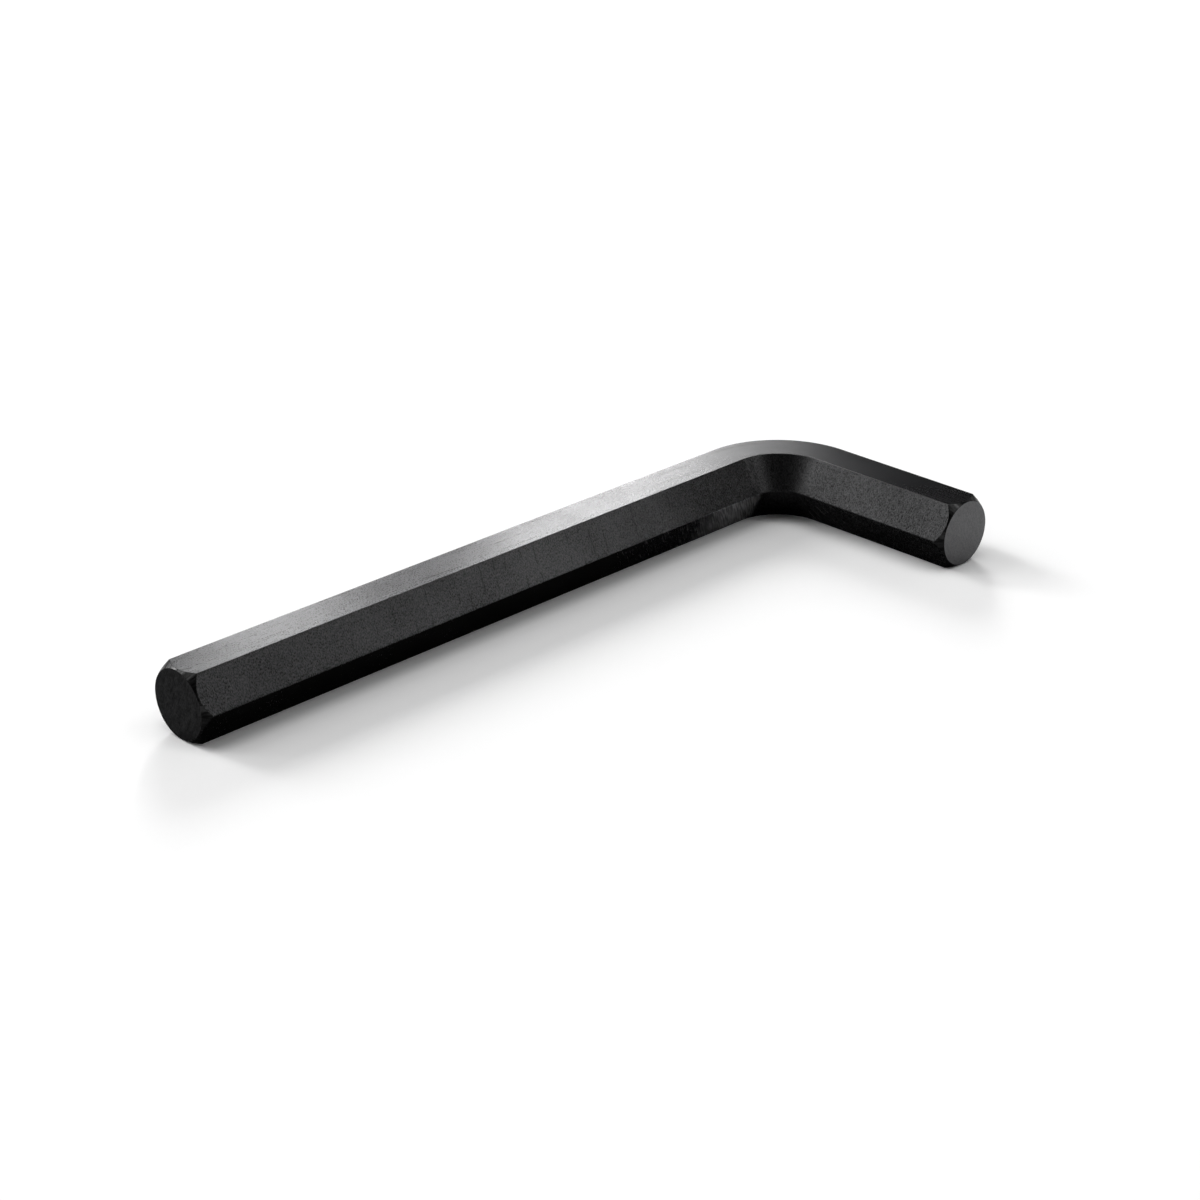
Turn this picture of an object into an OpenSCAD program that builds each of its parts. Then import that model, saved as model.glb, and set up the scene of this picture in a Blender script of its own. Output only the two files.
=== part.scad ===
// Short-arm hex key: one length of drawn hexagonal bar with a square-bent elbow and a turned chamfer at
// each end. It lies flat, its long arm along X and its short arm along Y, and two of its flats face up
// and down, so a ridge runs round the inside of the elbow and another round the outside. The origin is
// the middle of the overall length and width, on the surface that the key lies on.

/* [Bar] */
// Width of the bar across opposite flats, which is the socket size that the key fits
across_flats = 9; // [3:0.5:20]
// Radius of the round on each of the bar's six edges
edge_r = 0.1; // [0.05:0.05:1]

/* [Arms] */
// Overall length of the long arm, from its end face to the outer edge of the short arm
long_arm = 107.4; // [60:0.1:300]
// Overall length of the short arm, from its end face to the outer edge of the long arm
short_arm = 38.3; // [24:0.1:120]

/* [Elbow] */
// Radius of the inner edge where the bar goes round the elbow
bend_inside_r = 4.4; // [1:0.1:14]

/* [Ends] */
// Length of the turned chamfer along the bar, from the end face to where it leaves the corners
chamfer_length = 1.1; // [0.2:0.1:3]
// Slope of the turned chamfer, in degrees from the bar's centre line
chamfer_angle = 37; // [15:1:60]

/* [Hidden] */

// The bar has six flats. From the centre line, apothem reaches a flat and corner_r a corner, if it were
// sharp. Each edge round is centred at edge_centre_r, and the rounded corner ends at corner_reach.
flats = 6;
corner_step = 360 / flats;
half_step = corner_step / 2;
apothem = across_flats / 2;
corner_r = apothem / cos(half_step);
edge_centre_r = (apothem - edge_r) / cos(half_step);
corner_reach = edge_centre_r + edge_r;

// The centre lines of the arms, seen from above, and the corner where they would cross
short_arm_x = long_arm / 2 - corner_reach;
long_arm_y = short_arm / 2 - corner_reach;

// The elbow turns about a point that lies bend_r inside both centre lines
bend_angle = 90;
bend_r = bend_inside_r + corner_reach;
bend_x = short_arm_x - bend_r;
bend_y = long_arm_y - bend_r;

// The straight stretches run from the elbow to the end faces
long_straight = bend_x + long_arm / 2;
short_straight = bend_y + short_arm / 2;

// The chamfer is part of a cone, which is cut from a round blank that clears the corners
end_face_r = corner_r - chamfer_length * tan(chamfer_angle);
blank_r = 1.2 * corner_r;
blank_cone_length = (blank_r - end_face_r) / tan(chamfer_angle);
overrun = 1;

// Facets for a full turn. The edge facets put a corner at each end of every edge round.
turned_facets = 120;
edge_facets = 24;

black_oxide = [0.11, 0.11, 0.12];

// Point at a distance and a direction from the centre line, in the plane of the section
function polar(distance, angle) = distance * [cos(angle), sin(angle)];

// Cross-section of the bar, centred on its centre line, with flats above and below. The outline joins
// the ends of the edge rounds, and a circle at each corner fills the round itself.
module bar_section() {
    polygon([
        for (corner = [0:flats - 1])
            for (turn = [-half_step, half_step])
                polar(edge_centre_r, corner * corner_step) + polar(edge_r, corner * corner_step + turn)
    ]);
    for (corner = [0:flats - 1])
        translate(polar(edge_centre_r, corner * corner_step))
            circle(r = edge_r, $fn = edge_facets);
}

// Round blank that a lathe would leave around a bar of this length, with its coned nose at the top
module turned_blank(length) {
    rotate_extrude($fn = turned_facets)
        polygon([
            [0, -overrun],
            [blank_r, -overrun],
            [blank_r, length - blank_cone_length],
            [end_face_r, length],
            [0, length]
        ]);
}

// Straight stretch of bar that starts at the origin and ends in a chamfered tip, towards -Y
module straight_arm(length) {
    rotate([90, 0, 0])
        intersection() {
            linear_extrude(height = length + overrun)
                bar_section();
            turned_blank(length);
        }
}

// Quarter turn of the same section, from the short arm's centre line round to the long arm's
module elbow() {
    rotate_extrude(angle = bend_angle, $fn = turned_facets)
        translate([bend_r, 0])
            bar_section();
}

// The whole key, as one solid
module hex_key() {
    color(black_oxide)
        translate([bend_x, bend_y, apothem])
            union() {
                elbow();
                translate([bend_r, 0, 0])
                    straight_arm(short_straight);
                translate([0, bend_r, 0])
                    rotate([0, 0, -bend_angle])
                        straight_arm(long_straight);
            }
}

hex_key();
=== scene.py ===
"""Looks of the hex key: a swept hexagonal bar with two turned tips, black and satin, in a pale studio.

Everything is in metres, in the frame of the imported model, which gives the overall sizes and the place.
"""

import logging
import math
from dataclasses import dataclass
from enum import IntEnum

import bpy
import numpy as np
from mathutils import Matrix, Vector


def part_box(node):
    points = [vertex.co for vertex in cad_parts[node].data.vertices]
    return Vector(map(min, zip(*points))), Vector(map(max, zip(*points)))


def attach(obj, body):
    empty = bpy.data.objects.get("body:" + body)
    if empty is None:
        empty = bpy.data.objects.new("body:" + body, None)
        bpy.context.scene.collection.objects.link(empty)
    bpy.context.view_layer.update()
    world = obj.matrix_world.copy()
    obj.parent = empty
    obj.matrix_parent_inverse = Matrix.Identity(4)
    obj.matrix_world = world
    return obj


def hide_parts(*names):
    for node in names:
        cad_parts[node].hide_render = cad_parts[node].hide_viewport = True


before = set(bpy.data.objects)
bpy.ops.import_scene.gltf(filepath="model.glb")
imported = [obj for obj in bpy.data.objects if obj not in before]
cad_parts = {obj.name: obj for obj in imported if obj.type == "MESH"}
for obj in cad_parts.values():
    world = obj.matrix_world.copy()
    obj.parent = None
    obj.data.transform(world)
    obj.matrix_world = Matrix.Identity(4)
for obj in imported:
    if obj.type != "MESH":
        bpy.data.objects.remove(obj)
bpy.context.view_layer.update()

log = logging.getLogger("hex_key")

NODE = "hex_key"
BODY = "root"
MAP_NAME = "bar_wrap"

MM = 0.001
FLATS = 6
CORNER_STEP = 2 * math.pi / FLATS
HALF_STEP = CORNER_STEP / 2
WHITE = (1.0, 1.0, 1.0, 1.0)
COLD_CAST = 1.02

Socket = bpy.types.NodeSocket
Colour = tuple[float, float, float, float]


class Region(IntEnum):
    """The kinds of surface on the key, each with a finish of its own."""

    BAR = 0
    CHAMFER = 1
    LONG_END = 2
    SHORT_END = 3


class Flat(IntEnum):
    """The bar's flats, in the order in which the outline goes round them."""

    UPPER_OUTER = 0
    TOP = 1
    UPPER_INNER = 2
    LOWER_INNER = 3
    BOTTOM = 4
    LOWER_OUTER = 5


def polar(distance: float | np.ndarray, angle: np.ndarray) -> np.ndarray:
    """Turns distances and angles into points.

    Args:
        distance: Distance from the centre, one number or an array that fits the angles.
        angle: Angles in radians.

    Returns:
        The points, with one more axis than the angles, which holds the two coordinates.
    """
    return np.stack([distance * np.cos(angle), distance * np.sin(angle)], axis=-1)


@dataclass(frozen=True)
class BarSection:
    """Hexagonal section of the bar, with flats above and below and a small round on each edge."""

    across_flats: float
    edge_radius: float = 0.10 * MM
    edge_steps: int = 4
    flat_steps: int = 12

    @property
    def sharp_reach(self) -> float:
        """Distance from the centre to a corner, as if it were sharp."""
        return self.across_flats / 2 / math.cos(HALF_STEP)

    @property
    def edge_centre(self) -> float:
        """Distance from the centre to the middle of an edge round."""
        return (self.across_flats / 2 - self.edge_radius) / math.cos(HALF_STEP)

    @property
    def reach(self) -> float:
        """Distance from the centre to the tip of an edge round."""
        return self.edge_centre + self.edge_radius

    def outline(self) -> np.ndarray:
        """Works out the points round the section, anticlockwise from the outermost edge.

        Each edge is an arc about its own centre, which lies in the corner's direction. Each flat is
        the straight line from one arc to the next, and its points stand closer near the edges, by
        half of one minus the cosine of a half turn, so that smooth shading stays off the flat.

        Returns:
            The points as rows of sideways distance and height.
        """
        corner = np.arange(FLATS)[:, None] * CORNER_STEP
        turn = np.linspace(-HALF_STEP, HALF_STEP, self.edge_steps + 1)[None, :]
        arc = polar(self.edge_centre, corner) + polar(self.edge_radius, corner + turn)
        step = np.arange(1, self.flat_steps)[None, :, None] / self.flat_steps
        share = (1 - np.cos(np.pi * step)) / 2
        start = arc[:, -1:]
        end = np.roll(arc[:, :1], -1, axis=0)
        return np.concatenate([arc, start + share * (end - start)], axis=1).reshape(-1, 2)


@dataclass(frozen=True)
class TurnedTip:
    """Turned chamfer and flat end face of one arm, with a slight break on both of their edges."""

    length: float = 1.10 * MM
    angle: float = math.radians(37)
    break_radius: float = 0.06 * MM
    break_steps: int = 4
    cone_steps: int = 4
    support: float = 0.05 * MM
    face_rings: int = 12
    inner_ring: float = 0.25 * MM

    def face_radius(self, section: BarSection) -> float:
        """Radius at which the cone meets the end face, before the edge is broken."""
        return section.sharp_reach - self.length * math.tan(self.angle)

    def profile(self, section: BarSection, reach: np.ndarray) -> tuple[np.ndarray, np.ndarray]:
        """Works out the line from the bar's wall to the middle of the end face, in each direction.

        A wall at distance reach meets the cone where the depth behind the end face is the reach less
        the face radius, over the tangent of the cone's angle. An arc of the break radius rounds that
        corner, and a second one rounds the corner between the cone and the end face. Each arc
        starts at the break radius times the tangent of half its turn from the corner. Straight lines
        join them, with a point close to each end of a line, so that smooth shading stays at the arcs.

        Args:
            section: Section of the bar.
            reach: Distance from the centre line to each point of the outline.

        Returns:
            Two arrays with a row for each outline point and a column for each step inwards: the
            distance from the centre line, and the depth behind the end face.
        """
        face = self.face_radius(section)
        meets = (reach - face) / math.tan(self.angle)
        wall_run = self.break_radius * math.tan(self.angle / 2)
        face_run = self.break_radius * math.tan((math.pi / 2 - self.angle) / 2)

        wall_turn = np.linspace(0, self.angle, self.break_steps + 1)
        face_turn = np.linspace(self.angle, math.pi / 2, self.break_steps + 1)
        wall_arc = self.break_radius * np.stack([np.cos(wall_turn) - 1, -np.sin(wall_turn)])
        face_arc = self.break_radius * np.stack([np.cos(face_turn), 1 - np.sin(face_turn)])

        first = np.stack([reach[:, None] + wall_arc[0], (meets + wall_run)[:, None] + wall_arc[1]])
        last = np.stack([face - face_run + face_arc[0], face_arc[1]])
        last = np.repeat(last[:, None, :], len(reach), axis=1)

        share = (1 - np.cos(np.pi * np.arange(1, self.cone_steps) / self.cone_steps)) / 2
        cone = first[:, :, -1:] + share * (last[:, :, :1] - first[:, :, -1:])

        edge = face - face_run
        rings = np.linspace(edge - self.support, self.inner_ring, self.face_rings)
        flat_radius = np.broadcast_to(rings, (len(reach), self.face_rings))
        flat = np.stack([flat_radius, np.zeros_like(flat_radius)])

        wall = first[:, :, :1] + np.array([0.0, self.support])[:, None, None]
        radius, depth = np.concatenate([wall, first, cone, last, flat], axis=2)
        return radius, depth

    @property
    def face_columns(self) -> int:
        """Number of profile steps that lie on the end face's side of its broken edge."""
        return self.face_rings + self.break_steps // 2

    @property
    def cone_columns(self) -> int:
        """Number of profile steps from the middle of one broken edge to the middle of the other."""
        return self.break_steps + self.cone_steps


@dataclass(frozen=True)
class CentreLine:
    """Line that the section is carried along: straight, a quarter turn, and straight again."""

    bend_x: float
    bend_y: float
    height: float
    bend_radius: float
    long_straight: float
    short_straight: float

    @classmethod
    def within(cls, low: Vector, high: Vector, reach: float, bend_inside: float) -> "CentreLine":
        """Fits the line into the object's box.

        Args:
            low: Lowest corner of the box.
            high: Highest corner of the box.
            reach: Distance from the centre line to the edges in the plane of the bend.
            bend_inside: Radius of the inner edge where the bar goes round the elbow.

        Returns:
            The centre line, level with the middle of the box.
        """
        radius = bend_inside + reach
        bend_x = high.x - reach - radius
        bend_y = high.y - reach - radius
        return cls(
            bend_x=bend_x,
            bend_y=bend_y,
            height=(low.z + high.z) / 2,
            bend_radius=radius,
            long_straight=bend_x - low.x,
            short_straight=bend_y - low.y,
        )

    @property
    def bend_end(self) -> float:
        """Distance along the line at which the elbow ends."""
        return self.long_straight + self.bend_radius * math.pi / 2

    @property
    def length(self) -> float:
        """Length of the whole line, from end face to end face."""
        return self.bend_end + self.short_straight

    def place(self, run: np.ndarray, sideways: np.ndarray, rise: np.ndarray) -> np.ndarray:
        """Places points that are given along, beside and above the line.

        A point is the elbow's centre, plus the bend radius and its sideways distance in the
        direction of the turn so far, less what is still to run on the long arm along X, and less
        what has been run on the short arm along Y. The turn is the run on the elbow over its radius.

        Args:
            run: Distance along the line from the long arm's end face.
            sideways: Distance from the line, towards the outside of the bend.
            rise: Height above the line.

        Returns:
            The points, with a last axis for X, Y and Z.
        """
        turn = np.clip((run - self.long_straight) / self.bend_radius, 0, math.pi / 2)
        before = np.maximum(self.long_straight - run, 0)
        after = np.maximum(run - self.bend_end, 0)
        away = self.bend_radius + sideways
        return np.stack(
            [
                self.bend_x + away * np.sin(turn) - before,
                self.bend_y + away * np.cos(turn) - after,
                self.height + rise,
            ],
            axis=-1,
        )


class Bench:
    """Node tree of one finish, with a method for each step that the finishes share."""

    def __init__(self, name: str) -> None:
        """Starts an empty tree that ends in one principled shader.

        Args:
            name: Name of the material.
        """
        self.material = bpy.data.materials.new(name)
        self.material.use_nodes = True
        self.tree = self.material.node_tree
        self.tree.nodes.clear()
        output = self.tree.nodes.new("ShaderNodeOutputMaterial")
        self.shader = self.tree.nodes.new("ShaderNodeBsdfPrincipled")
        self.tree.links.new(self.shader.outputs["BSDF"], output.inputs["Surface"])

    def feed(self, socket: Socket, value: Socket | float | Colour) -> None:
        """Links a socket to another, or sets it to a value.

        Args:
            socket: The socket.
            value: What it takes.
        """
        if isinstance(value, bpy.types.NodeSocket):
            self.tree.links.new(value, socket)
        else:
            socket.default_value = value

    def chart(self) -> Socket:
        """Reads the key's own map, which is in metres on the surface.

        Returns:
            The coordinates.
        """
        read = self.tree.nodes.new("ShaderNodeUVMap")
        read.uv_map = MAP_NAME
        return read.outputs["UV"]

    def wrapped(self, along: float, across: float, turn: float = 0.0, shift: float = 0.0) -> Socket:
        """Reads the key's own map, turned and scaled so that one unit is one pattern cell.

        Args:
            along: Size of a cell along the first direction of the map, in metres.
            across: Size of a cell along the second direction, in metres.
            turn: Angle by which the pattern is turned on the surface, in radians.
            shift: Distance in metres by which the pattern is moved, so that two patterns differ.

        Returns:
            The coordinates.
        """
        fit = self.tree.nodes.new("ShaderNodeMapping")
        fit.vector_type = "TEXTURE"
        fit.inputs["Location"].default_value = (shift, shift, 0.0)
        fit.inputs["Rotation"].default_value = (0.0, 0.0, turn)
        fit.inputs["Scale"].default_value = (along, across, 1.0)
        self.tree.links.new(self.chart(), fit.inputs["Vector"])
        return fit.outputs["Vector"]

    def solid(self, cell: float) -> Socket:
        """Reads the object's own coordinates, scaled so that one unit is one pattern cell.

        Args:
            cell: Size of a cell, in metres.

        Returns:
            The coordinates.
        """
        read = self.tree.nodes.new("ShaderNodeTexCoord")
        fit = self.tree.nodes.new("ShaderNodeMapping")
        fit.inputs["Scale"].default_value = (1 / cell, 1 / cell, 1 / cell)
        self.tree.links.new(read.outputs["Object"], fit.inputs["Vector"])
        return fit.outputs["Vector"]

    def noise(self, where: Socket, detail: float = 2.0, wave: float = 0.0) -> Socket:
        """Adds a noise pattern with one blotch a cell.

        Args:
            where: Coordinates in cells.
            detail: Number of finer layers.
            wave: How far the pattern is bent out of line.

        Returns:
            The pattern, mostly between 0.3 and 0.7.
        """
        node = self.tree.nodes.new("ShaderNodeTexNoise")
        node.inputs["Scale"].default_value = 1.0
        node.inputs["Detail"].default_value = detail
        node.inputs["Distortion"].default_value = wave
        self.tree.links.new(where, node.inputs["Vector"])
        return node.outputs["Fac"]

    def stretch(self, value: Socket, low: float, high: float, to_low: float, to_high: float) -> Socket:
        """Maps a value smoothly from one range to another, and holds it at the ends.

        Args:
            value: The value.
            low: Value that gives to_low.
            high: Value that gives to_high.
            to_low: Result at and below low.
            to_high: Result at and above high.

        Returns:
            The mapped value.
        """
        node = self.tree.nodes.new("ShaderNodeMapRange")
        node.interpolation_type = "SMOOTHSTEP"
        for name, number in zip(("From Min", "From Max", "To Min", "To Max"), (low, high, to_low, to_high)):
            node.inputs[name].default_value = number
        self.tree.links.new(value, node.inputs["Value"])
        return node.outputs["Result"]

    def rise(self, value: Socket, start: float, end: float) -> Socket:
        """Is nought up to the start, one from the end on, and rises smoothly between them."""
        return self.stretch(value, start, end, 0.0, 1.0)

    def fall(self, value: Socket, start: float, end: float) -> Socket:
        """Is one up to the start, nought from the end on, and falls smoothly between them."""
        return self.stretch(value, start, end, 1.0, 0.0)

    def centred(self, pattern: Socket, reach: float = 0.20) -> Socket:
        """Stretches a noise pattern, whose middle is a half, to run from minus a half to a half."""
        return self.stretch(pattern, 0.5 - reach, 0.5 + reach, -0.5, 0.5)

    def band(self, value: Socket, start: float, end: float, fade: float) -> Socket:
        """Is one between two values and nought outside them, with a soft step at each.

        Args:
            value: The value.
            start: Middle of the first step.
            end: Middle of the second step.
            fade: Width of each step.

        Returns:
            The share, from 0 to 1.
        """
        rises = self.rise(value, start - fade / 2, start + fade / 2)
        falls = self.fall(value, end - fade / 2, end + fade / 2)
        return self.product(rises, falls)

    def maths(self, operation: str, *values: Socket | float) -> Socket:
        """Adds one arithmetic step.

        Args:
            operation: Blender's name for it.
            values: One, two or three values, as it takes.

        Returns:
            The result.
        """
        node = self.tree.nodes.new("ShaderNodeMath")
        node.operation = operation
        for socket, value in zip(node.inputs, values):
            self.feed(socket, value)
        return node.outputs["Value"]

    def product(self, first: Socket, *others: Socket) -> Socket:
        """Multiplies values by each other.

        Args:
            first: First value.
            others: The other values.

        Returns:
            The product.
        """
        result = first
        for value in others:
            result = self.maths("MULTIPLY", result, value)
        return result

    def total(self, *terms: tuple[Socket, float]) -> Socket:
        """Adds up values, each times its own weight.

        Args:
            terms: Pairs of a value and its weight.

        Returns:
            The weighted sum.
        """
        result = self.maths("MULTIPLY", terms[0][0], terms[0][1])
        for value, weight in terms[1:]:
            result = self.maths("MULTIPLY_ADD", value, weight, result)
        return result

    def along(self) -> Socket:
        """Reads the distance along the bar from the key's own map, in metres."""
        return self.split().outputs["X"]

    def round_bar(self) -> Socket:
        """Reads the length round the section from the key's own map, in metres."""
        return self.split().outputs["Y"]

    def split(self) -> bpy.types.Node:
        """Splits the key's own map into its two directions.

        Returns:
            The node, with an output for each.
        """
        node = self.tree.nodes.new("ShaderNodeSeparateXYZ")
        self.tree.links.new(self.chart(), node.inputs["Vector"])
        return node

    def cracks(self, run: Socket, spacing: float, width: float) -> Socket:
        """Draws thin lines across a run, at uneven distances.

        Args:
            run: Distance across which the lines lie, in metres.
            spacing: Mean distance between two lines.
            width: Width of a line, with its soft sides.

        Returns:
            The share, from 0 between the lines to 1 in the middle of one.
        """
        node = self.tree.nodes.new("ShaderNodeTexVoronoi")
        node.voronoi_dimensions = "1D"
        node.feature = "DISTANCE_TO_EDGE"
        node.inputs["Scale"].default_value = 1.0
        self.tree.links.new(self.maths("DIVIDE", run, spacing), node.inputs["W"])
        return self.fall(node.outputs["Distance"], 0.0, width / spacing / 2)

    def grey(self, tone: Socket, dark: float, pale: float) -> Socket:
        """Makes a colour between two greys.

        Args:
            tone: Where the colour lies, from 0 for dark to 1 for pale.
            dark: Darkest grey.
            pale: Palest grey.

        Returns:
            The colour.
        """
        return self.blend(tone, self.plain(dark), self.plain(pale))

    def plain(self, grey: float) -> Colour:
        """Gives the colour of a plain grey with the slightest cold cast."""
        return (grey, grey, grey * COLD_CAST, 1.0)

    def blend(self, share: Socket, first: Socket | Colour, second: Socket | Colour) -> Socket:
        """Blends two colours.

        Args:
            share: Share of the second colour, which is held between 0 and 1.
            first: First colour.
            second: Second colour.

        Returns:
            The blended colour.
        """
        node = self.tree.nodes.new("ShaderNodeMix")
        node.data_type = "RGBA"
        node.clamp_factor = True
        sockets = {socket.identifier: socket for socket in (*node.inputs, *node.outputs)}
        self.tree.links.new(share, sockets["Factor_Float"])
        self.feed(sockets["A_Color"], first)
        self.feed(sockets["B_Color"], second)
        return sockets["Result_Color"]

    def colour(self, colour: Socket) -> None:
        """Gives the surface a colour."""
        self.tree.links.new(colour, self.shader.inputs["Base Color"])

    def relief(self, height: Socket, depth: float) -> None:
        """Raises the surface by a height times a depth.

        Args:
            height: The height, mostly from 0 to 1.
            depth: The depth, in metres.
        """
        node = self.tree.nodes.new("ShaderNodeBump")
        node.inputs["Strength"].default_value = 1.0
        node.inputs["Distance"].default_value = depth
        self.tree.links.new(height, node.inputs["Height"])
        self.tree.links.new(node.outputs["Normal"], self.shader.inputs["Normal"])

    def oxide(self, roughness: Socket, edge_tint: float) -> None:
        """Makes a dark oxide on metal, with a gloss that fades at a slant.

        Args:
            roughness: Roughness of the oxide.
            edge_tint: Share of the gloss that is left at a steep slant.
        """
        self.shader.inputs["Metallic"].default_value = 1.0
        self.shader.inputs["Specular Tint"].default_value = (edge_tint, edge_tint, edge_tint, 1.0)
        self.tree.links.new(roughness, self.shader.inputs["Roughness"])

    def oil(self, cover: Socket, roughness: float) -> None:
        """Lays a thin film of oil over the oxide.

        Args:
            cover: Share of the surface that the film covers.
            roughness: Roughness of the film.
        """
        self.tree.links.new(cover, self.shader.inputs["Coat Weight"])
        self.shader.inputs["Coat Roughness"].default_value = roughness


@dataclass(frozen=True)
class DrawnBarFinish:
    """Black oxide under a thin film of oil, on the drawn flats of the bar.

    All flats have fine grain, specks and mottling. The level ones also have hairlines along the bar
    and grow smoother towards the short arm, and the lower ones are drier and painted darker, as
    painted shade. The inside flats have thin lines across them, and wrinkles about the elbow. Just
    before the elbow the upper inside flat is painted darker, as painted shade for a dark reflection,
    and the lower one has scratches from rubbing and is painted pale, as a painted reflection.

    Leans are in radians, and a stretch is how many times longer a mark is round the bar than along
    it. A start or a full is a distance from the long tip, and a lead is a distance before the elbow.
    The slant is how far a line moves along the bar for each metre round it.
    """

    flat_width: float
    elbow_start: float
    elbow_end: float

    # Oxide and oil
    dark: float = 0.0075
    pale: float = 0.061
    # Pale tone of the rub patch: partly wear, partly a painted reflection.
    rub_and_reflection_tone: float = 0.31
    roughness: float = 0.29
    edge_tint: float = 0.327
    oil_cover: float = 0.138
    oil_below: float = 0.2
    oil_roughness: float = 0.17
    depth: float = 0.010 * MM

    # Edges of the flats, and of the marks on the inside ones
    flat_fade: float = 0.1 * MM
    inner_margin: float = 0.3 * MM
    inner_fade: float = 0.4 * MM

    # Patterns all over the bar
    grain: float = 0.15 * MM
    grain_stretch: float = 1.7
    speck: float = 0.28 * MM
    mottle: float = 0.7 * MM
    smudge: float = 6 * MM

    # Hairlines and polish on the level flats
    hair_length: float = 14 * MM
    hair_width: float = 0.24 * MM
    hair_lean: float = 0.03
    polish_start: float = 10 * MM
    polish_full: float = 112 * MM
    least_polish: float = 0.2
    most_polish: float = 0.96

    # Thin lines across the inside flats
    nick_spacing: float = 2.4 * MM
    nick_width: float = 0.32 * MM
    nick_slant: float = 0.125
    nick_waver: float = 0.8 * MM
    nick_start: float = 12 * MM
    nick_full: float = 45 * MM
    nick_lead: float = 20 * MM

    # Wrinkles, painted shade, and the rub patch with its painted reflection, about the elbow
    wrinkle: float = 0.13 * MM
    wrinkle_stretch: float = 6
    wrinkle_lead: float = 40 * MM
    painted_dark_band_lead: float = 20 * MM
    painted_dark_band_end_lead: float = 5 * MM
    bend_margin: float = 1 * MM
    bend_fade: float = 2 * MM
    faint_lead: float = 35.2 * MM
    rub_and_reflection_lead: float = 16 * MM
    rub_and_reflection_end_lead: float = 4 * MM
    faint_rub_and_reflection: float = 0.22
    far_rub_and_reflection: float = 0.27
    stroke_length: float = 2.4 * MM
    stroke_width: float = 0.20 * MM
    stroke_lean: float = 0.95

    def on(self, bench: Bench, flat: Flat) -> Socket:
        """Is one on a flat and nought off it, with a soft step at each edge."""
        start = flat * self.flat_width
        return bench.band(bench.round_bar(), start, start + self.flat_width, self.flat_fade)

    def inside(self, bench: Bench) -> Socket:
        """Is one on the two flats on the inside of the bend, and nought from near their outer edges.

        Args:
            bench: The finish's node tree.

        Returns:
            The share, from 0 to 1.
        """
        start = Flat.UPPER_INNER * self.flat_width + self.inner_margin
        end = Flat.BOTTOM * self.flat_width - self.inner_margin
        return bench.band(bench.round_bar(), start, end, self.inner_fade)

    def under(self, bench: Bench) -> Socket:
        """Is one on the three flats that face down, and nought on the upper ones."""
        # These flats face down, and the material paints them darker with this share: painted shade.
        edge = Flat.LOWER_INNER * self.flat_width
        return bench.rise(bench.round_bar(), edge - self.flat_fade / 2, edge + self.flat_fade / 2)

    def hair(self, bench: Bench, level: Socket) -> Socket:
        """Draws hairlines along the level flats.

        Args:
            bench: The finish's node tree.
            level: One on the level flats and nought off them.

        Returns:
            The share, from 0 to 1.
        """
        place = bench.wrapped(self.hair_length, self.hair_width, turn=self.hair_lean, shift=5 * MM)
        return bench.product(bench.rise(bench.noise(place, detail=1.0), start=0.62, end=0.70), level)

    def nick(self, bench: Bench) -> Socket:
        """Draws thin broken lines across the two inside flats, most of them amid the long arm.

        A line lies where the distance along, plus the slant times the length round the bar and a
        little noise, comes to an uneven multiple of the spacing.

        Args:
            bench: The finish's node tree.

        Returns:
            The share, from 0 to 1.
        """
        waver = bench.noise(bench.wrapped(along=1.5 * MM, across=1.5 * MM, shift=7 * MM))
        slant = (bench.round_bar(), self.nick_slant)
        run = bench.total((bench.along(), 1.0), slant, (waver, self.nick_waver))
        lines = bench.cracks(run, self.nick_spacing, self.nick_width)
        breaks = bench.noise(bench.wrapped(along=3 * MM, across=2.4 * MM), detail=1.0)
        parts = bench.rise(breaks, start=0.42, end=0.56)
        grows = bench.stretch(bench.along(), self.nick_start, self.nick_full, to_low=0.1, to_high=1.0)
        last = self.elbow_start - self.nick_lead
        fades = bench.stretch(bench.along(), last, self.elbow_start, to_low=1.0, to_high=0.3)
        return bench.product(lines, parts, self.inside(bench), grows, fades)

    def wrinkles(self, bench: Bench) -> Socket:
        """Draws fine wrinkles down the two inside flats, about the elbow and on the short arm.

        Args:
            bench: The finish's node tree.

        Returns:
            The pattern, from minus a half to a half.
        """
        place = bench.wrapped(self.wrinkle, self.wrinkle_stretch * self.wrinkle, shift=2 * MM)
        pattern = bench.centred(bench.noise(place, detail=1.0, wave=0.4), reach=0.14)
        first = self.elbow_start - self.wrinkle_lead
        near = bench.stretch(bench.along(), first, self.elbow_start, to_low=0.4, to_high=1.0)
        return bench.product(pattern, self.inside(bench), near)

    def before_bend(self, bench: Bench) -> Socket:
        """Is one along the long arm, and falls to nought just past the start of the elbow."""
        start = self.elbow_start + self.bend_margin
        return bench.fall(bench.along(), start, start + self.bend_fade)

    def painted_dark_band(self, bench: Bench) -> Socket:
        """Is one on the upper inside flat just before the elbow, where the tone is painted darker as painted
        shade.

        Args:
            bench: The finish's node tree.

        Returns:
            The share, from 0 to 1.
        """
        first, last = self.elbow_start - self.painted_dark_band_lead, self.elbow_start - self.painted_dark_band_end_lead
        grows = bench.rise(bench.along(), first, last)
        return bench.product(grows, self.before_bend(bench), self.on(bench, Flat.UPPER_INNER))

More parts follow.
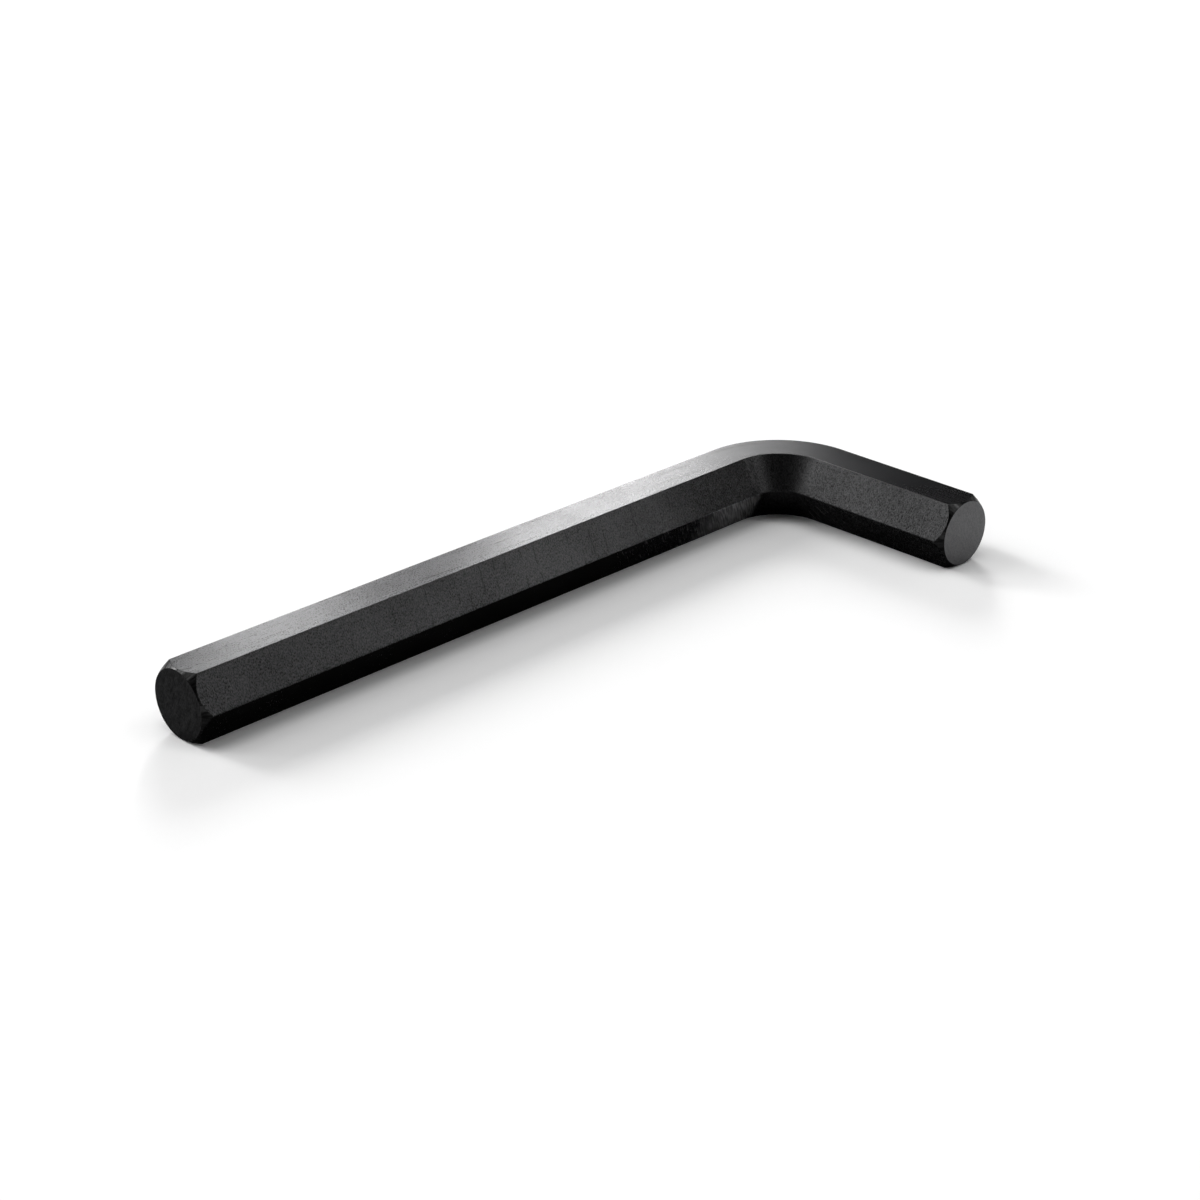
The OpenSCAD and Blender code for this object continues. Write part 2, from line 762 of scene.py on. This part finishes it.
    def rub_and_reflection(self, bench: Bench) -> Socket:
        """Is high on the lower inside flat where the long arm meets the elbow, and low past the elbow.

        It rises to the faint share from the faint lead on, and to one from the rub lead on, and is
        gone just past the start of the elbow. At the elbow's end it comes back as the far share, which
        fades out along the short arm over a length equal to the rub lead. The share marks scratches from
        rubbing, and it also carries a pale painted reflection.

        Args:
            bench: The finish's node tree.

        Returns:
            The share, from 0 to 1.
        """
        along, start, end = bench.along(), self.elbow_start, self.elbow_end
        first, middle, last = start - self.faint_lead, start - self.rub_and_reflection_lead, start - self.rub_and_reflection_end_lead
        nears = bench.stretch(along, first, middle, to_low=0.0, to_high=self.faint_rub_and_reflection)
        grows = bench.stretch(along, middle, last, to_low=0.0, to_high=1 - self.faint_rub_and_reflection)
        before = bench.product(bench.maths("ADD", nears, grows), self.before_bend(bench))
        returns = bench.rise(along, end - self.rub_and_reflection_end_lead, end)
        fades = bench.stretch(along, end, end + self.rub_and_reflection_lead, to_low=self.far_rub_and_reflection, to_high=0.0)
        both = bench.maths("MULTIPLY_ADD", returns, fades, before)
        return bench.product(both, self.on(bench, Flat.LOWER_INNER))

    def strokes(self, bench: Bench, rub_and_reflection: Socket) -> Socket:
        """Draws short leaning scratches, closer together where the rub share is higher.

        Args:
            bench: The finish's node tree.
            rub_and_reflection: Share of the rub, which also carries a painted reflection, from 0 to 1.

        Returns:
            The share, from 0 to 1.
        """
        place = bench.wrapped(self.stroke_length, self.stroke_width, turn=self.stroke_lean, shift=4 * MM)
        reach = bench.total((bench.noise(place, wave=0.2), 1.0), (rub_and_reflection, 0.3))
        return bench.product(bench.rise(reach, start=0.66, end=0.94), bench.rise(rub_and_reflection, start=0.0, end=0.12))

    def material(self) -> bpy.types.Material:
        """Builds the material.

        The tone is a half, plus the weighted sum of the patterns. It paints shade on the lower flats
        and on a band of the upper inside flat before the elbow, by making them darker. Grain, mottling
        and smudges are quieter where the level flats are smooth, and below, and the specks are fewer
        there. The rub places and their scratches are a blend towards a paler tone, which is wear from
        rubbing and also a painted reflection. The roughness, the oil's cover and the relief are weighted
        sums of the same patterns.

        Returns:
            The material.
        """
        bench = Bench("drawn bar finish")
        grain_place = bench.wrapped(self.grain, self.grain_stretch * self.grain)
        grain = bench.centred(bench.noise(grain_place, detail=1.0))
        mottle = bench.centred(bench.noise(bench.wrapped(self.mottle, self.mottle, shift=3 * MM)))
        smudge = bench.centred(bench.noise(bench.solid(self.smudge), detail=3.0))
        speck_pattern = bench.noise(bench.wrapped(self.speck, self.speck, shift=9 * MM), detail=1.0)
        speck = bench.rise(speck_pattern, start=0.68, end=0.80)

        level = bench.maths("ADD", self.on(bench, Flat.TOP), self.on(bench, Flat.BOTTOM))
        # Painted shade: the flats that face down get a darker tone, standing in for the shade under the bar.
        under = self.under(bench)
        smooth = (self.polish_start, self.polish_full, self.least_polish, self.most_polish)
        polish = bench.product(level, bench.stretch(bench.along(), *smooth))
        quiet = bench.maths("ADD", bench.total((polish, -1.0), (under, -0.3)), 1.0)
        calm = bench.stretch(polish, 0.0, 1.0, to_low=1.0, to_high=0.1)

        hair, nick, wrinkle = self.hair(bench, level), self.nick(bench), self.wrinkles(bench)
        rub_and_reflection = self.rub_and_reflection(bench)
        strokes = self.strokes(bench, rub_and_reflection)
        # Scratches from rubbing plus a painted reflection, as a share of the pale tone.
        wear_and_reflection = bench.total((strokes, 0.82), (rub_and_reflection, 0.18))

        texture = bench.product(bench.total((grain, 0.66), (mottle, 0.16), (smudge, 0.16)), quiet)
        tone = bench.total(
            (texture, 1.0),
            (wrinkle, 0.22),
            (bench.product(speck, calm), -0.5),
            (hair, -0.26),
            (nick, -0.46),
            # Painted shade on the flats that face down.
            (under, -0.34),
            # Painted shade: a darker band on the upper inside flat just before the elbow.
            (self.painted_dark_band(bench), -0.30),
        )
        oxide = bench.grey(bench.maths("ADD", tone, 0.5), self.dark, self.pale)
        # The blend to the pale tone is wear and a painted reflection.
        bench.colour(bench.blend(wear_and_reflection, oxide, bench.plain(self.rub_and_reflection_tone)))

        roughness = bench.total((texture, 0.04), (wrinkle, 0.04), (wear_and_reflection, 0.12))
        bench.oxide(bench.maths("ADD", roughness, self.roughness), self.edge_tint)

        spots = bench.product(bench.total((grain, 0.2), (speck, -0.3)), calm)
        cover = bench.total((spots, 1.0), (mottle, 0.05), (smudge, 0.10), (hair, -0.3))
        thickness = bench.stretch(under, 0.0, 1.0, self.oil_cover, self.oil_cover * self.oil_below)
        bench.oil(bench.maths("MULTIPLY_ADD", cover, thickness, thickness), self.oil_roughness)

        bumps = bench.product(bench.total((grain, 0.16), (speck, -0.2)), calm)
        relief = bench.total((bumps, 1.0), (wrinkle, 0.5), (nick, -0.3), (strokes, 0.5))
        bench.relief(relief, self.depth)
        return bench.material


@dataclass(frozen=True)
class TurnedFinish:
    """Black oxide under oil on the turned chamfers: rings round the axis and chatter down the slope."""

    edge_radius: float
    dark: float = 0.0012
    pale: float = 0.015
    roughness: float = 0.28
    edge_tint: float = 0.327
    oil_cover: float = 0.325
    oil_below: float = 1 / 6
    oil_roughness: float = 0.18
    ring: float = 0.07 * MM
    ring_length: float = 14 * MM
    chatter: float = 0.26 * MM
    chatter_length: float = 2.0 * MM
    grain: float = 0.12 * MM
    painted_shade_rises: tuple[float, float] = (math.radians(150), math.radians(190))
    painted_shade_falls: tuple[float, float] = (math.radians(320), math.radians(355))
    depth: float = 0.012 * MM

    def low(self, bench: Bench) -> Socket:
        """Is one on the lower side of the chamfer and nought on the upper, by the angle round it.

        Args:
            bench: The finish's node tree.

        Returns:
            The share, from 0 to 1.
        """
        # The lower side marked here is painted darker, as painted shade.
        rises, falls = (
            [angle * self.edge_radius for angle in step] for step in (self.painted_shade_rises, self.painted_shade_falls)
        )
        return bench.product(bench.rise(bench.round_bar(), *rises), bench.fall(bench.round_bar(), *falls))

    def material(self) -> bpy.types.Material:
        """Builds the material.

        The tone is a weighted sum of narrow rings, stripes that run down the slope, and grain, less
        a twentieth. The lower side is painted darker, as painted shade, and has less oil.

        Returns:
            The material.
        """
        bench = Bench("turned chamfer finish")
        low = self.low(bench)
        rings = bench.noise(bench.wrapped(self.ring, self.ring_length))
        chatter = bench.noise(bench.wrapped(self.chatter_length, self.chatter, shift=5 * MM))
        grain = bench.noise(bench.solid(self.grain))
        stripes = bench.centred(chatter, reach=0.18)
        # The lower side's weight paints shade into the tone.
        tone = bench.total((rings, 0.5), (stripes, 0.7), (grain, 0.5), (low, -0.35))
        bench.colour(bench.grey(bench.maths("SUBTRACT", tone, 0.05), self.dark, self.pale))
        bench.oxide(bench.maths("MULTIPLY_ADD", grain, 0.08, self.roughness), self.edge_tint)
        cover = bench.stretch(low, 0.0, 1.0, self.oil_cover, self.oil_cover * self.oil_below)
        bench.oil(bench.maths("MULTIPLY_ADD", stripes, cover, cover), self.oil_roughness)
        bench.relief(bench.total((rings, 0.5), (chatter, 2.0), (grain, 0.3)), self.depth)
        return bench.material


@dataclass(frozen=True)
class CutFinish:
    """Black oxide on a cut end face: fine straight lines from the saw, grain and faint mottling."""

    name: str
    dark: float
    pale: float
    roughness: float = 0.34
    edge_tint: float = 0.45
    line: float = 0.16 * MM
    line_stretch: float = 16
    line_lean: float = math.radians(28)
    mottle: float = 0.9 * MM
    grain: float = 0.18 * MM
    spread: float = 0.18
    depth: float = 0.004 * MM

    def material(self) -> bpy.types.Material:
        """Builds the material, whose tone is a half plus the weighted lines, mottling and grain.

        Returns:
            The material.
        """
        bench = Bench(self.name)
        line_place = bench.wrapped(self.line, self.line_stretch * self.line, turn=self.line_lean)
        lines = bench.centred(bench.noise(line_place), self.spread)
        mottle = bench.centred(bench.noise(bench.solid(self.mottle), detail=3.0), self.spread)
        grain = bench.centred(bench.noise(bench.solid(self.grain), detail=1.0), self.spread)
        tone = bench.total((lines, 0.35), (mottle, 0.2), (grain, 0.6))
        bench.colour(bench.grey(bench.maths("ADD", tone, 0.5), self.dark, self.pale))
        bench.oxide(bench.maths("MULTIPLY_ADD", mottle, 0.03, self.roughness), self.edge_tint)
        bench.relief(bench.total((lines, 0.8), (grain, 0.5)), self.depth)
        return bench.material


@dataclass
class HexKey:
    """The key itself: one closed skin from the long arm's end face to the short arm's."""

    low: Vector
    high: Vector
    bend_inside: float = 4.40 * MM
    clear_of_tip: float = 2.5 * MM
    long_steps: int = 60
    elbow_steps: int = 60
    short_steps: int = 16
    name: str = "hex_key_bar"

    def __post_init__(self) -> None:
        """Works out the section, the tip and the centre line from the object's box."""
        self.section = BarSection(across_flats=self.high.z - self.low.z)
        self.tip = TurnedTip()
        self.line = CentreLine.within(self.low, self.high, self.section.reach, self.bend_inside)
        self.outline = self.section.outline()

    def stations(self) -> np.ndarray:
        """Works out where the rows across the bar stand, from near one tip to near the other.

        They are evenly spaced on each straight and on the elbow.

        Returns:
            Distances along the centre line.
        """
        line = self.line
        return np.concatenate(
            [
                np.linspace(self.clear_of_tip, line.long_straight, self.long_steps, endpoint=False),
                np.linspace(line.long_straight, line.bend_end, self.elbow_steps, endpoint=False),
                np.linspace(line.bend_end, line.length - self.clear_of_tip, self.short_steps),
            ]
        )

    def surface(self) -> tuple[np.ndarray, np.ndarray, np.ndarray]:
        """Works out the skin as a grid, with a row for each outline point and a column for each step.

        The columns run from the middle of the long arm's end face out to its edge, up the chamfer,
        along the bar, and back down to the middle of the short arm's end face. A column scales the
        outline by its distance from the centre line over the outline's own, and carries it along.

        Returns:
            The distance from the centre line, the distance along it, and the points.
        """
        reach = np.hypot(*self.outline.T)
        radius, depth = self.tip.profile(self.section, reach)
        wall = np.broadcast_to(reach[:, None], (len(reach), len(self.stations())))
        along = np.broadcast_to(self.stations(), wall.shape)
        distance = np.concatenate([radius[:, ::-1], wall, radius], axis=1)
        run = np.concatenate([depth[:, ::-1], along, self.line.length - depth], axis=1)
        share = distance / reach[:, None]
        sideways, rise = (self.outline[:, axis, None] * share for axis in (0, 1))
        return distance, run, self.line.place(run, sideways, rise)

    def regions(self, columns: int) -> np.ndarray:
        """Tells for each gap between two columns which kind of surface it is.

        Args:
            columns: Number of columns of the grid.

        Returns:
            One region for each gap, and one more at each end for the fan about the middle.
        """
        gap = np.arange(columns + 1)
        from_end = np.minimum(gap, columns - gap)
        face, cone = self.tip.face_columns, self.tip.cone_columns
        end = np.where(gap < columns / 2, Region.LONG_END, Region.SHORT_END)
        return np.select([from_end <= face, from_end <= face + cone], [end, Region.CHAMFER], Region.BAR)

    def girth(self) -> np.ndarray:
        """Adds up the length round the outline.

        Returns:
            The length from the first point to each point, and last the whole way round.
        """
        edges = np.diff(self.outline, axis=0, append=self.outline[:1])
        return np.concatenate([[0.0], np.cumsum(np.hypot(*edges.T))])

    def charts(self, distance: np.ndarray, run: np.ndarray) -> np.ndarray:
        """Lays out the map that the finishes read, in metres on the surface.

        On the bar it holds the distance along and the length round the outline. On a chamfer it
        holds the distance down the slope, which is the distance from the centre line less the face
        radius, over the sine of the cone's angle, and the length round the face's edge. On an end
        face it holds the sideways distance and the height. The outline's first row comes once more
        at the end, a full turn further, and the short arm's tip is moved along by the bar's length.

        Args:
            distance: Distance of each grid point from the centre line.
            run: Distance of each grid point along it.

        Returns:
            An array of region, row, column and coordinate.
        """
        closed = np.vstack([self.outline, self.outline[:1]])
        girth = self.girth()[:, None]
        angle = np.unwrap(np.arctan2(closed[:, 1], closed[:, 0]))[:, None]
        distance = np.vstack([distance, distance[:1]])
        run = np.vstack([run, run[:1]])
        beyond = np.where(run > self.line.length / 2, self.line.length, 0.0)
        face = self.tip.face_radius(self.section)
        slope = (distance - face) / math.sin(self.tip.angle)
        flat = polar(distance, np.broadcast_to(angle, distance.shape))
        return np.stack(
            [
                np.stack([run, np.broadcast_to(girth, run.shape)], axis=-1),
                np.stack([slope + beyond, np.broadcast_to(angle * face, run.shape)], axis=-1),
                flat,
                flat + beyond[..., None],
            ]
        )

    def sides(self, chart: np.ndarray, region: np.ndarray) -> tuple[np.ndarray, np.ndarray, np.ndarray]:
        """Works out the four-sided faces between neighbouring rows and columns.

        A face joins a point, its neighbour in the next row, that one's neighbour in the next column,
        and the one back in the first row. The first row follows on the last.

        Args:
            chart: The map, as an array of region, row, column and coordinate.
            region: Region of each gap between two columns, with one more at each end.

        Returns:
            The points of each face, their places on the map, and the face's region.
        """
        rows, columns = chart.shape[1] - 1, chart.shape[2]
        row = np.arange(rows)[:, None, None] + np.array([0, 1, 1, 0])
        column = np.arange(columns - 1)[None, :, None] + np.array([0, 0, 1, 1])
        kind = np.broadcast_to(region[1:-1], (rows, columns - 1))
        points = (row % rows) * columns + column
        return points.reshape(-1, 4), chart[kind[..., None], row, column].reshape(-1, 2), kind.ravel()

    def fans(self, chart: np.ndarray, region: np.ndarray) -> tuple[np.ndarray, np.ndarray, np.ndarray]:
        """Works out the three-sided faces that close the ends, each round the middle of its end face.

        The middles of the two end faces come after all points of the grid.

        Args:
            chart: The map, as an array of region, row, column and coordinate.
            region: Region of each gap between two columns, with one more at each end.

        Returns:
            The points of each face, their places on the map, and the face's region.
        """
        rows, columns = chart.shape[1] - 1, chart.shape[2]
        row = np.arange(rows)
        here, there = row * columns, (row + 1) % rows * columns
        pole = np.full(rows, rows * columns)
        start = np.stack([pole, there, here], axis=-1)
        end = np.stack([here + columns - 1, there + columns - 1, pole + 1], axis=-1)
        first, last = chart[Region.LONG_END, :, 0], chart[Region.SHORT_END, :, -1]
        middle = np.zeros((rows, 2))
        start_map = np.stack([middle, first[1:], first[:-1]], axis=1)
        end_map = np.stack([last[:-1], last[1:], middle + self.line.length], axis=1)
        places = np.concatenate([start_map, end_map]).reshape(-1, 2)
        return np.concatenate([start, end]), places, np.repeat(region[[0, -1]], rows)

    def mesh(self) -> bpy.types.Mesh:
        """Builds the closed mesh, with its map and a region for each face.

        Returns:
            The mesh.
        """
        distance, run, points = self.surface()
        poles = self.line.place(np.array([0.0, self.line.length]), np.zeros(2), np.zeros(2))
        chart, region = self.charts(distance, run), self.regions(run.shape[1])
        quads, quad_map, quad_region = self.sides(chart, region)
        fans, fan_map, fan_region = self.fans(chart, region)

        mesh = bpy.data.meshes.new(self.name)
        vertices = np.vstack([points.reshape(-1, 3), poles])
        mesh.from_pydata(vertices.tolist(), [], [*quads.tolist(), *fans.tolist()])
        layer = mesh.uv_layers.new(name=MAP_NAME)
        layer.uv.foreach_set("vector", np.concatenate([quad_map, fan_map]).astype(np.float32).ravel())
        mesh.polygons.foreach_set("material_index", np.concatenate([quad_region, fan_region]))
        mesh.polygons.foreach_set("use_smooth", np.ones(len(mesh.polygons), dtype=bool))
        mesh.update()
        return mesh

    def build(self) -> bpy.types.Object:
        """Puts the key in the scene, dresses it, and lets it stand for the solid.

        Returns:
            The finished piece.
        """
        mesh = self.mesh()
        flat_width = float(self.girth()[-1]) / FLATS
        finishes = {
            Region.BAR: DrawnBarFinish(flat_width, self.line.long_straight, self.line.bend_end),
            Region.CHAMFER: TurnedFinish(edge_radius=self.tip.face_radius(self.section)),
            # One cut finish in two tones: the long end is painted darker as painted shade, the short end
            # paler as a painted reflection.
            Region.LONG_END: CutFinish("long arm end with painted shade", dark=0.0075, pale=0.029),
            Region.SHORT_END: CutFinish("short arm end with painted reflection", dark=0.088, pale=0.129),
        }
        for region in Region:
            mesh.materials.append(finishes[region].material())
        piece = bpy.data.objects.new(self.name, mesh)
        bpy.context.scene.collection.objects.link(piece)
        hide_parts(NODE)
        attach(piece, BODY)
        log.info("%s: %d faces, %.1f mm of bar", self.name, len(mesh.polygons), self.line.length / MM)
        return piece


def toward(heading: float, elevation: float) -> Vector:
    """Gives the direction of a compass heading and a height above the horizon.

    Args:
        heading: Angle from +X towards +Y, in degrees.
        elevation: Angle above the floor, in degrees.

    Returns:
        The direction, one unit long.
    """
    turn, lift = math.radians(heading), math.radians(elevation)
    return Vector((math.cos(lift) * math.cos(turn), math.cos(lift) * math.sin(turn), math.sin(lift)))


@dataclass(frozen=True)
class SoftBox:
    """Rectangular studio lamp that faces the key, with its place and size in degrees as seen from it."""

    name: str
    heading: float
    elevation: float
    across: float
    tall: float
    brightness: float

    def build(self, target: Vector, distance: float) -> bpy.types.Object:
        """Places the lamp, with its power worked out from how bright its face is to be.

        The power of a flat lamp is its brightness times its area times pi.

        Args:
            target: Point that the lamp faces.
            distance: Distance from that point to the lamp.

        Returns:
            The lamp.
        """
        lamp = bpy.data.lights.new(self.name, "AREA")
        lamp.shape = "RECTANGLE"
        lamp.size = 2 * distance * math.tan(math.radians(self.across / 2))
        lamp.size_y = 2 * distance * math.tan(math.radians(self.tall / 2))
        lamp.energy = self.brightness * lamp.size * lamp.size_y * math.pi
        placed = bpy.data.objects.new(self.name, lamp)
        direction = toward(self.heading, self.elevation)
        placed.location = target + direction * distance
        placed.rotation_euler = direction.to_track_quat("Z", "Y").to_euler()
        placed.visible_camera = False
        bpy.context.scene.collection.objects.link(placed)
        return placed


@dataclass(frozen=True)
class Studio:
    """Pale floor that glows white far off, soft lamps round the key, and a world white at the horizon."""

    lamps: tuple[SoftBox, ...] = (
        SoftBox("overhead box", heading=45, elevation=90, across=30, tall=30, brightness=2.8),
        SoftBox("back tail", heading=40.77, elevation=23, across=2.2, tall=18, brightness=10.35),
        SoftBox("back box", heading=44.92, elevation=23, across=5.43, tall=18, brightness=35.71),
        SoftBox("back fill", heading=49.95, elevation=23, across=3.83, tall=18, brightness=5.12),
        SoftBox("back wing", heading=54.21, elevation=23, across=4.01, tall=18, brightness=23.98),
        SoftBox("right box", heading=-72, elevation=24, across=27.31, tall=32, brightness=0.792),
        SoftBox("right fill", heading=-52.17, elevation=24, across=8.94, tall=32, brightness=0.44),
        SoftBox("right strip", heading=-46.48, elevation=24, across=1.45, tall=32, brightness=10.26),
        SoftBox("far right box", heading=-4, elevation=26, across=30, tall=36, brightness=0.72),
        SoftBox("high right box", heading=-56, elevation=58, across=14, tall=12, brightness=4.32),
        SoftBox("front fill", heading=-91, elevation=57, across=12, tall=14, brightness=1.44),
        SoftBox("left wing", heading=99, elevation=20, across=20, tall=30, brightness=3.92),
        SoftBox("left shelf", heading=106, elevation=33, across=14, tall=18, brightness=11.2),
        SoftBox("left strip", heading=127.86, elevation=25, across=6.4, tall=26, brightness=6.68),
        SoftBox("left box", heading=145.65, elevation=25, across=25.85, tall=26, brightness=1.112),
        SoftBox("left fill", heading=169.2, elevation=25, across=16.8, tall=26, brightness=0.136),
        SoftBox("high left box", heading=128, elevation=50, across=15, tall=18, brightness=5.28),
        SoftBox("high left fill", heading=158, elevation=54, across=24, tall=14, brightness=2.08),
    )
    lamp_distance: float = 3.0
    floor_size: float = 40.0
    floor_drop: float = 0.02 * MM
    floor_tone: float = 0.92
    floor_roughness: float = 0.6
    glow_start: float = 0.5
    glow_full: float = 1.3
    horizon_tone: float = 1.0
    sky_tone: float = 0.064
    sky_start: float = math.radians(0.5)
    sky_full: float = math.radians(8)

    def floor_material(self) -> bpy.types.Material:
        """Builds the floor's matt paint.

        Past the stretch that the lamps light, it glows white by itself, more with the distance from
        the key. From so far off that light only grazes the key.

        Returns:
            The material.
        """
        material = bpy.data.materials.new("pale floor")
        material.use_nodes = True
        nodes, links = material.node_tree.nodes, material.node_tree.links
        shader = nodes["Principled BSDF"]
        place = nodes.new("ShaderNodeTexCoord")
        away = nodes.new("ShaderNodeVectorMath")
        away.operation = "LENGTH"
        glow = nodes.new("ShaderNodeMapRange")
        glow.interpolation_type = "SMOOTHSTEP"
        glow.inputs["From Min"].default_value = self.glow_start
        glow.inputs["From Max"].default_value = self.glow_full
        links.new(place.outputs["Object"], away.inputs["Vector"])
        links.new(away.outputs["Value"], glow.inputs["Value"])
        links.new(glow.outputs["Result"], shader.inputs["Emission Strength"])
        shader.inputs["Emission Color"].default_value = WHITE
        shader.inputs["Base Color"].default_value = (self.floor_tone, self.floor_tone, self.floor_tone, 1.0)
        shader.inputs["Roughness"].default_value = self.floor_roughness
        shader.inputs["Specular IOR Level"].default_value = 0.0
        return material

    def floor(self) -> bpy.types.Object:
        """Lays a flat pale floor just under the key.

        Returns:
            The floor.
        """
        half = self.floor_size / 2
        corners = [(x * half, y * half, -self.floor_drop) for x, y in ((-1, -1), (1, -1), (1, 1), (-1, 1))]
        mesh = bpy.data.meshes.new("studio floor")
        mesh.from_pydata(corners, [], [(0, 1, 2, 3)])
        mesh.materials.append(self.floor_material())
        floor = bpy.data.objects.new("studio floor", mesh)
        bpy.context.scene.collection.objects.link(floor)
        return floor

    def world(self) -> None:
        """Sets a world that is white at the horizon and a dark grey from a little way above it.

        The direction's height, by which it fades, is the sine of its angle above the horizon.
        """
        world = bpy.data.worlds.new("studio world")
        world.use_nodes = True
        nodes, links = world.node_tree.nodes, world.node_tree.links
        direction = nodes.new("ShaderNodeTexCoord")
        split = nodes.new("ShaderNodeSeparateXYZ")
        fade = nodes.new("ShaderNodeMapRange")
        fade.interpolation_type = "SMOOTHSTEP"
        for name, number in (
            ("From Min", math.sin(self.sky_start)),
            ("From Max", math.sin(self.sky_full)),
            ("To Min", self.horizon_tone),
            ("To Max", self.sky_tone),
        ):
            fade.inputs[name].default_value = number
        links.new(direction.outputs["Generated"], split.inputs["Vector"])
        links.new(split.outputs["Z"], fade.inputs["Value"])
        links.new(fade.outputs["Result"], nodes["Background"].inputs["Strength"])
        nodes["Background"].inputs["Color"].default_value = WHITE
        bpy.context.scene.world = world

    def build(self, target: Vector) -> None:
        """Builds the floor, the world and the lamps.

        Args:
            target: Point that the lamps face.
        """
        self.floor()
        self.world()
        for lamp in self.lamps:
            lamp.build(target, self.lamp_distance)
        log.info("studio: %d lamps", len(self.lamps))


@dataclass(frozen=True)
class Viewpoint:
    """Camera, aimed at the middle of the object's box."""

    heading: float = 225.0
    elevation: float = 25.0
    lens: float = 75.0
    sensor: float = 36.0
    diagonals_away: float = 2.7007

    def build(self, low: Vector, high: Vector) -> bpy.types.Object:
        """Places the camera at a set number of box diagonals from the middle of the box.

        Args:
            low: Lowest corner of the object's box.
            high: Highest corner of the object's box.

        Returns:
            The camera.
        """
        data = bpy.data.cameras.new("camera")
        data.lens = self.lens
        data.sensor_width = self.sensor
        data.clip_start = 1 * MM
        camera = bpy.data.objects.new("camera", data)
        direction = toward(self.heading, self.elevation)
        camera.location = (low + high) / 2 + direction * (high - low).length * self.diagonals_away
        camera.rotation_euler = direction.to_track_quat("Z", "Y").to_euler()
        bpy.context.scene.collection.objects.link(camera)
        bpy.context.scene.camera = camera
        return camera


def main() -> None:
    """Builds the key, the studio and the camera, in that order."""
    logging.basicConfig(level=logging.INFO, format="%(name)s: %(message)s")
    low, high = (Vector(corner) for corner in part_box(NODE))
    HexKey(low, high).build()
    Studio().build((low + high) / 2)
    Viewpoint().build(low, high)
    bpy.context.scene.view_settings.view_transform = "Standard"


if __name__ == "__main__":
    main()
